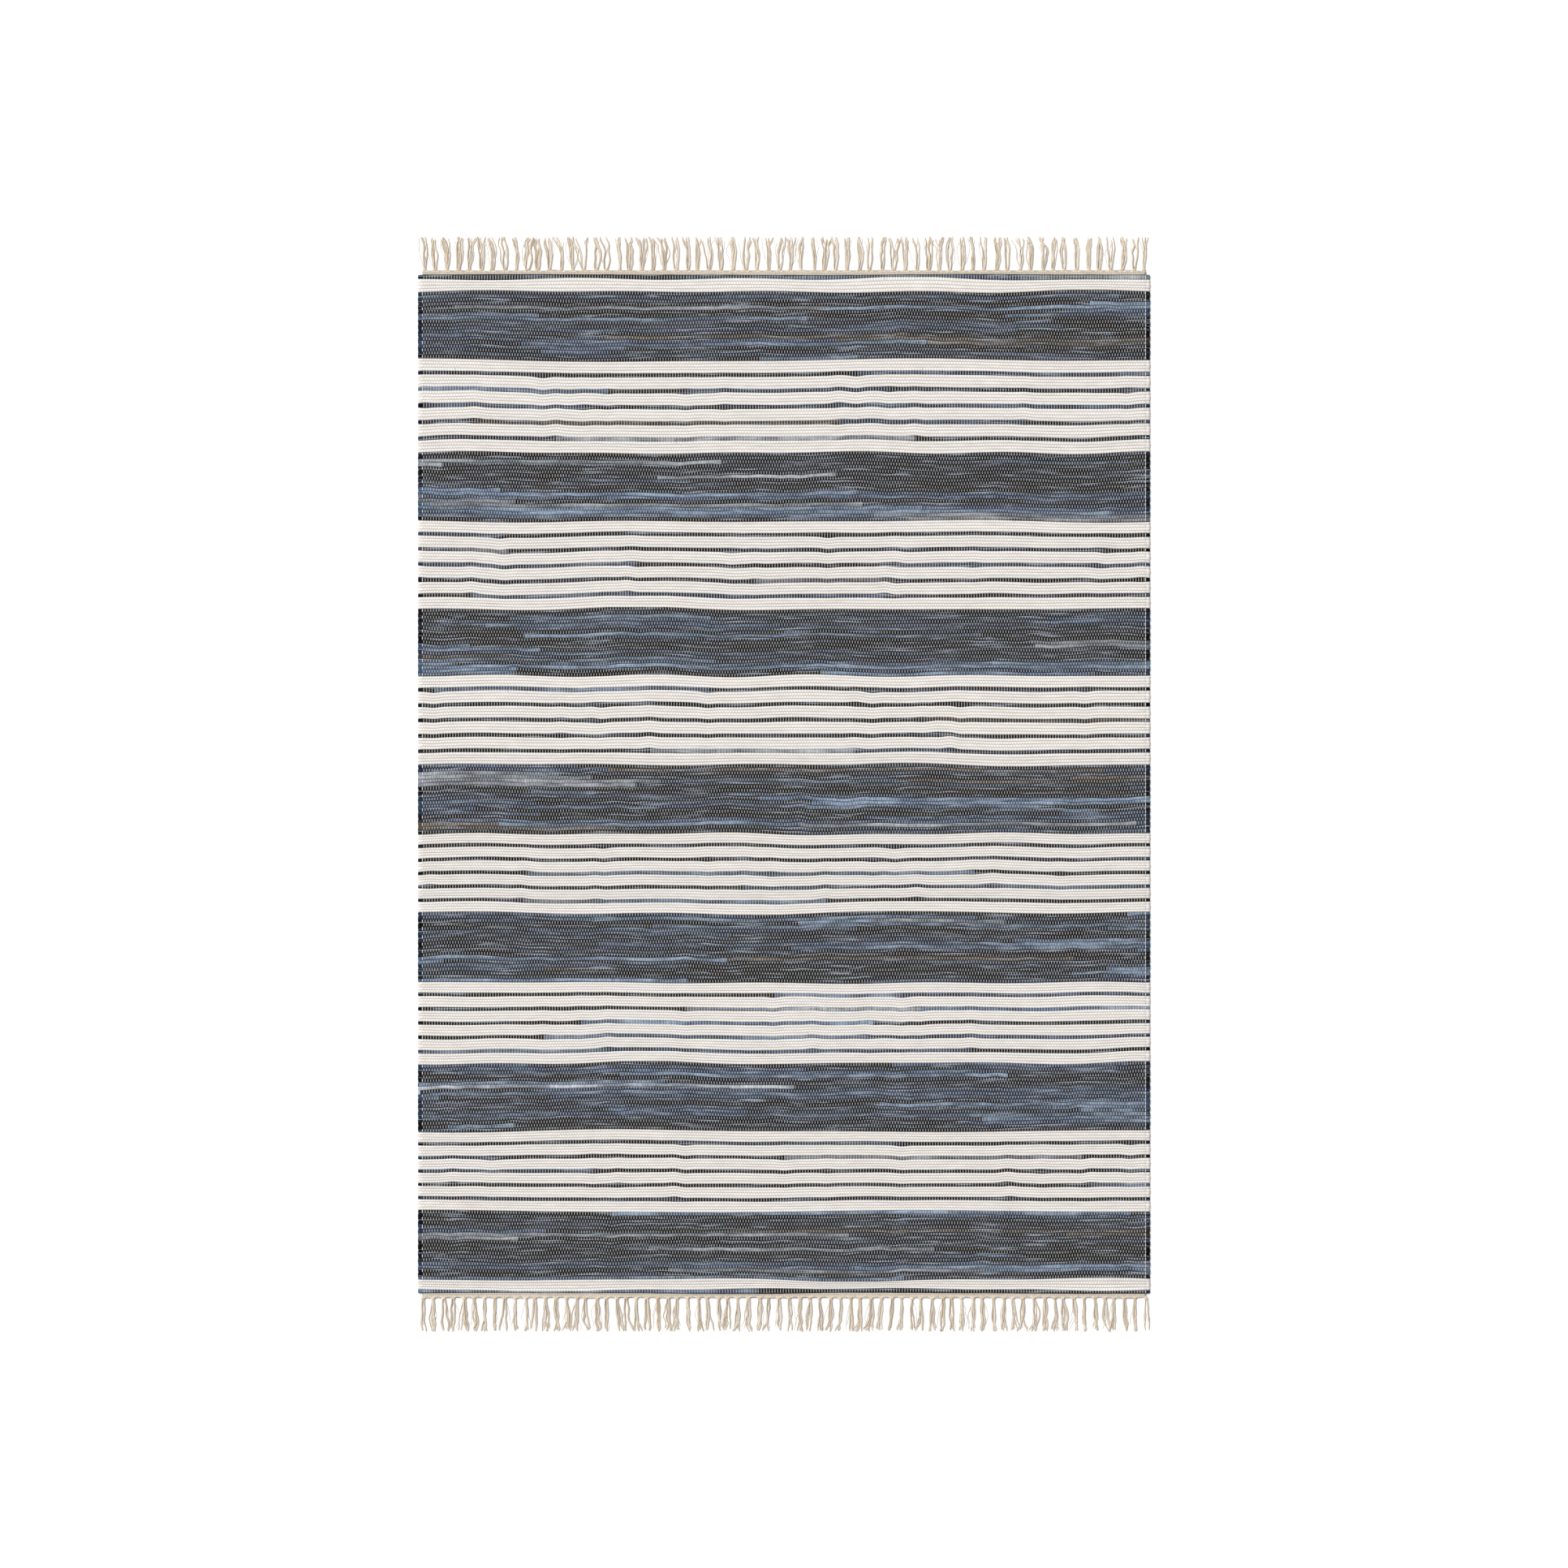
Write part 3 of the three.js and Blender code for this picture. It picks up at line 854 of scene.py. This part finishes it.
FAR_BEND = 3.2
NEAR_BEND = 0.3
LAYERS = 3
YARN_TONE = 0.4
TONE_VARIES = 0.22
LOOSE_PLIES = 2  # in a tassel
PLY_SPREAD = 1.3  # of the tassel's spread
PLY_BEND = 3.5
PLY_LENGTHS = (0.8, 0.99)  # of the fringe's reach
PLY_LAYER = 0.4
PLY_TONE = 0.5
YARN_SIDES = 5
FINE_SIDES = 3


def drape():
    """How one lock of yarn lies: the length, height and start of its waves, its lean and its tip's curl."""
    return {
        "length": draws.uniform(*WAVE_LENGTHS),
        "height": draws.uniform(*WAVE_HEIGHTS),
        "start": draws.random(),
        "lean": draws.normal(0, LOCK_LEAN),
        "curl": draws.normal(0, LOCK_CURL),
    }


def free_yarn(start, root, lean, bow, lock, aside, stray, layer, length, radius, tone):
    """A yarn's path from the heading, through its knot and out along the floor with its lock."""
    t = np.linspace(YARN_START, 1, YARN_POINTS)
    wave = lock["height"] * np.sin(2 * np.pi * (t / lock["length"] + lock["start"])) * t
    crimp_height = draws.uniform(*CRIMP_HEIGHTS)
    crimp_length = draws.uniform(*CRIMP_LENGTHS)
    crimp = crimp_height * np.sin(2 * np.pi * (t / crimp_length + draws.random()))
    curl = crimp * t + lock["curl"] * np.clip(t - CURL_FROM, 0, 1) ** 2 / CURL_EASE
    opening = np.clip(t / OPEN_BY, 0, 1) ** OPEN_BLUNT
    middle = root + (lean + lock["lean"]) * t**2 + bow * np.sin(np.pi * t)
    spread = aside * (SQUEEZED + (1 - SQUEEZED) * opening)
    bend = stray * np.sin(np.pi * (STRAY_ARC * t)) * opening
    side = RUG_WIDTH / 2 - SIDE_MARGIN
    x = np.clip(middle + spread + wave + curl + bend, -side, side)
    y = outer_edge + KNOT_PAST + (length - KNOT_PAST) * t
    z = radius + layer * (LAYER_HEIGHT - LAYER_FALL * t)

    # From inside the heading, over its edge and into the knot
    knot_x = root + 0.4 * aside
    gather = np.array(
        [
            [start, outer_edge - 3.4, HEADING_CREST - 1.5],
            [0.45 * start + 0.55 * knot_x, outer_edge - 0.9, HEADING_CREST - 0.9],
            [knot_x, outer_edge + KNOT_PAST, 1.6 + 0.7 * layer],
        ]
    )
    path = np.concatenate([gather, np.stack([x, y, z], axis=-1)])
    return {"path": path, "radius": radius, "tone": tone}


def frayed(yarn):
    """The fine fibres that spread from a yarn's cut tip."""
    tip = yarn["path"][-1]
    fibres = []
    for _ in range(FIBRES):
        reach = draws.uniform(*FIBRE_REACHES)
        swing = draws.normal(0, FIBRE_SWING)
        steps = [[-0.4, -0.6, 0.0], [0.5 * swing, 0.5 * reach, -0.1], [1.4 * swing, reach, -0.25]]
        path = tip + np.array(steps)
        path[:, 1] = np.minimum(path[:, 1], outer_edge + FRINGE_REACH + FIBRE_LIMIT)
        path[:, 2] = np.maximum(path[:, 2], FIBRE_RADIUS)
        fibres.append({"path": path, "radius": np.array([1, 0.9, 0.6]) * FIBRE_RADIUS, "tone": yarn["tone"]})
    return fibres


for fringe in FRINGES:
    roots, leans, bows = tassel_roots(fringe)
    owner = np.abs(end_x[:, None] - roots).argmin(axis=1)
    yarns = []
    plies = []
    for tassel in range(fringe["tassels"]):
        gathered = end_x[owner == tassel]
        spread = draws.uniform(*fringe["spread"])
        lock_count = draws.integers(*LOCKS)
        locks = [drape() for _ in range(lock_count)]
        lock_aside = spread * (np.linspace(-1, 1, lock_count) + draws.normal(0, LOCK_STRAY, lock_count))
        lie = (roots[tassel], leans[tassel], bows[tassel])
        for number, start in enumerate(gathered):
            lock = number * lock_count // len(gathered)
            aside = lock_aside[lock] + draws.normal(0, YARN_STRAY)
            bent = draws.random() < BENT_SHARE
            stray = draws.normal(0, FAR_BEND if bent else NEAR_BEND)
            length = FRINGE_REACH * (SHORTEST + (1 - SHORTEST) * draws.random())
            layer = number * 2 % LAYERS
            tone = np.clip(draws.normal(YARN_TONE, TONE_VARIES), 0, 1)
            yarn = free_yarn(start, *lie, locks[lock], aside, stray, layer, length, YARN_RADIUS, tone)
            yarns.append(yarn)
        for _ in range(LOOSE_PLIES):
            aside = spread * draws.uniform(-PLY_SPREAD, PLY_SPREAD)
            stray = draws.normal(0, PLY_BEND)
            length = FRINGE_REACH * draws.uniform(*PLY_LENGTHS)
            start = draws.choice(gathered)
            ply = free_yarn(start, *lie, drape(), aside, stray, PLY_LAYER, length, PLY_RADIUS, PLY_TONE)
            plies.append(ply)
    fibres = [fibre for yarn in yarns for fibre in frayed(yarn)]
    tassels = spun(f"tassels_{fringe['end']}", yarns, YARN_SIDES, spun_cotton)
    loose = spun(f"loose_plies_{fringe['end']}", plies + fibres, FINE_SIDES, spun_cotton)
    for piece in (tassels, loose):
        turned_end(piece, fringe)
        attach(piece, "root")
        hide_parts(f"fringe_{fringe['end']}")
        fringe["pieces"].append(piece)
    fringe["roots"] = roots

# The knots
# Each bunch of warp ends is tied in an overhand knot drawn up against the heading. The whole bunch passes
# once round itself, so a knot is a plump slanted ring of yarn.
KNOT_RING = 2.2  # millimetres, half of the ring's width
RING_VARIES = (0.85, 1.15)
KNOT_RADIUS = 1.3  # millimetres, of the bunch
KNOT_THINS = 0.35  # the share of it that is lost by the ring's two ends
KNOT_HEIGHT = 2.35  # millimetres, of the ring's middle, and how far the ring rises and falls from it
KNOT_RISE = 1.1
KNOT_SLANTS = (1.2, 2.4)  # millimetres
KNOT_OVERLAP = 0.12  # of a turn, past each end of the ring
KNOT_TURN = 0.4  # of a turn, the latest that a ring starts
KNOT_POINTS = 14
KNOT_SIDES = 6
KNOT_TONE = 0.3
KNOT_TONE_VARIES = 0.15
for fringe in FRINGES:
    wraps = []
    for root in fringe["roots"]:
        turn = np.linspace(-KNOT_OVERLAP, 1 + KNOT_OVERLAP, KNOT_POINTS) + draws.uniform(0, KNOT_TURN)
        slant = draws.uniform(*KNOT_SLANTS) * draws.choice([-1, 1])
        ring = KNOT_RING * draws.uniform(*RING_VARIES)
        x = root + ring * np.cos(2 * np.pi * turn)
        y = outer_edge + KNOT_PAST + slant * (np.linspace(0, 1, KNOT_POINTS) - 0.5)
        z = KNOT_HEIGHT + KNOT_RISE * np.sin(2 * np.pi * turn)
        path = np.stack([x, y, z], axis=-1)
        radius = KNOT_RADIUS * (1 - KNOT_THINS * np.abs(np.linspace(-1, 1, KNOT_POINTS)) ** 4)
        tone = np.clip(draws.normal(KNOT_TONE, KNOT_TONE_VARIES), 0, 1)
        wraps.append({"path": path, "radius": radius, "tone": tone})
    piece = turned_end(spun(f"knots_{fringe['end']}", wraps, KNOT_SIDES, spun_cotton), fringe)
    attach(piece, "root")
    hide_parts(f"fringe_{fringe['end']}")

# The loose threads
# Torn rag sheds a thread here and there. They lie on the face, mostly beside the dark picks they come from.
THREADS = 260
THREAD_RADIUS = 0.17  # millimetres, as the next five are
THREAD_REACHES = (3, 9)
THREAD_LEAN = 1.5
THREAD_BEND = 2
THREAD_LIFT = 0.25  # of its ends over the pick, and how much higher its middle is
THREAD_ARCH = 0.5
THREAD_TAPER = np.array([1, 1, 0.9, 0.8, 0.6])
SIDE_COLUMNS = 10  # beside each selvedge, that no thread starts on
THREAD_HEXES = ("#0d0f14", "#8d98a8")  # the darkest and palest thread

# Loose cotton thread: matt, and as dark or faded as the rag it comes from.
rag_thread, tree = shader_tree("loose cotton thread")
tone = add(tree, "ShaderNodeAttribute", attribute_name="tone").outputs["Fac"]
thread_colour = add(
    tree,
    "ShaderNodeMix",
    {"Factor": tone, "A": (*linear(THREAD_HEXES[0]), 1), "B": (*linear(THREAD_HEXES[1]), 1)},
    data_type="RGBA",
)
shader = add(
    tree,
    "ShaderNodeBsdfPrincipled",
    {"Base Color": thread_colour.outputs["Result"], "Roughness": 0.9, "Specular IOR Level": 0.25},
)
add(tree, "ShaderNodeOutputMaterial", {"Surface": shader.outputs["BSDF"]})

rag_picks = [number for number, weft in enumerate(wefts) if WEFTS[weft]["strips"]]
threads = []
for _ in range(THREADS):
    pick = draws.choice(rag_picks)
    column = draws.integers(SIDE_COLUMNS, len(column_x) - SIDE_COLUMNS)
    steps = np.linspace(0, 1, len(THREAD_TAPER))
    reach = draws.uniform(*THREAD_REACHES) * draws.choice([-1, 1])
    bend = draws.normal(0, THREAD_BEND)
    x = column_x[column] + draws.normal(0, THREAD_LEAN) * steps + bend * steps**2
    y = np.clip(crest_y[pick, column] + reach * steps, -WOVEN_LENGTH / 2, WOVEN_LENGTH / 2)
    z = crest_z[pick, column] + THREAD_LIFT + THREAD_ARCH * np.sin(np.pi * steps)
    path = np.stack([x, y, z], axis=-1)
    threads.append({"path": path, "radius": THREAD_RADIUS * THREAD_TAPER, "tone": draws.random() ** 2})
piece = spun("loose_threads", threads, FINE_SIDES, rag_thread)
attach(piece, "root")

# The floor and the studio
# A plain pale floor under one large soft lamp and an even white surround.
FLOOR_SIDE = 60.0  # metres
FLOOR_DROP = 0.0004  # metres that the floor lies under the rug
FLOOR_HEX = "#fafafa"

# Matt white paint, which shows only the soft shade beside the rug.
studio_floor, tree = shader_tree("matt white studio floor")
shader = add(tree, "ShaderNodeBsdfPrincipled", {"Base Color": (*linear(FLOOR_HEX), 1), "Roughness": 0.9})
add(tree, "ShaderNodeOutputMaterial", {"Surface": shader.outputs["BSDF"]})
half = FLOOR_SIDE / 2
outline = ((-half, -half), (half, -half), (half, half), (-half, half))
mesh = bpy.data.meshes.new("studio_floor")
mesh.from_pydata([(x, y, -FLOOR_DROP) for x, y in outline], [], [(0, 1, 2, 3)])
mesh.materials.append(studio_floor)
floor = bpy.data.objects.new("studio_floor", mesh)
bpy.context.scene.collection.objects.link(floor)

LAMP_PLACE = Vector((-22.0, 19.0, 40.0))  # metres
LAMP_SIZE = 18.0
LAMP_POWER = 21000.0  # watts
lamp = bpy.data.lights.new("soft_lamp", "AREA")
lamp.shape = "DISK"
lamp.size = LAMP_SIZE
lamp.energy = LAMP_POWER
lamp_object = bpy.data.objects.new("soft_lamp", lamp)
lamp_object.location = LAMP_PLACE
lamp_object.rotation_euler = (-LAMP_PLACE).to_track_quat("-Z", "Y").to_euler()
bpy.context.scene.collection.objects.link(lamp_object)

SURROUND_STRENGTH = 0.5
surround = bpy.data.worlds.new("white surround")
surround.use_nodes = True
surround.node_tree.nodes.clear()
sky = add(surround.node_tree, "ShaderNodeBackground", {"Color": (1, 1, 1, 1), "Strength": SURROUND_STRENGTH})
add(surround.node_tree, "ShaderNodeOutputWorld", {"Surface": sky.outputs["Background"]})
bpy.context.scene.world = surround
bpy.context.scene.view_settings.view_transform = "Standard"

# The camera looks straight down on the middle of the rug, through a long lens.
VIEW_SIDE = 2.5703  # metres of floor across the square picture
CAMERA_HEIGHT = 9.0
CAMERA_REACH = 60.0
SENSOR = 36.0  # millimetres
camera = bpy.data.cameras.new("camera_above")
camera.sensor_width = SENSOR
camera.lens = SENSOR * CAMERA_HEIGHT / VIEW_SIDE
camera.clip_end = CAMERA_REACH
camera_object = bpy.data.objects.new("camera_above", camera)
camera_object.location = (0, 0, CAMERA_HEIGHT)
bpy.context.scene.collection.objects.link(camera_object)
bpy.context.scene.camera = camera_object
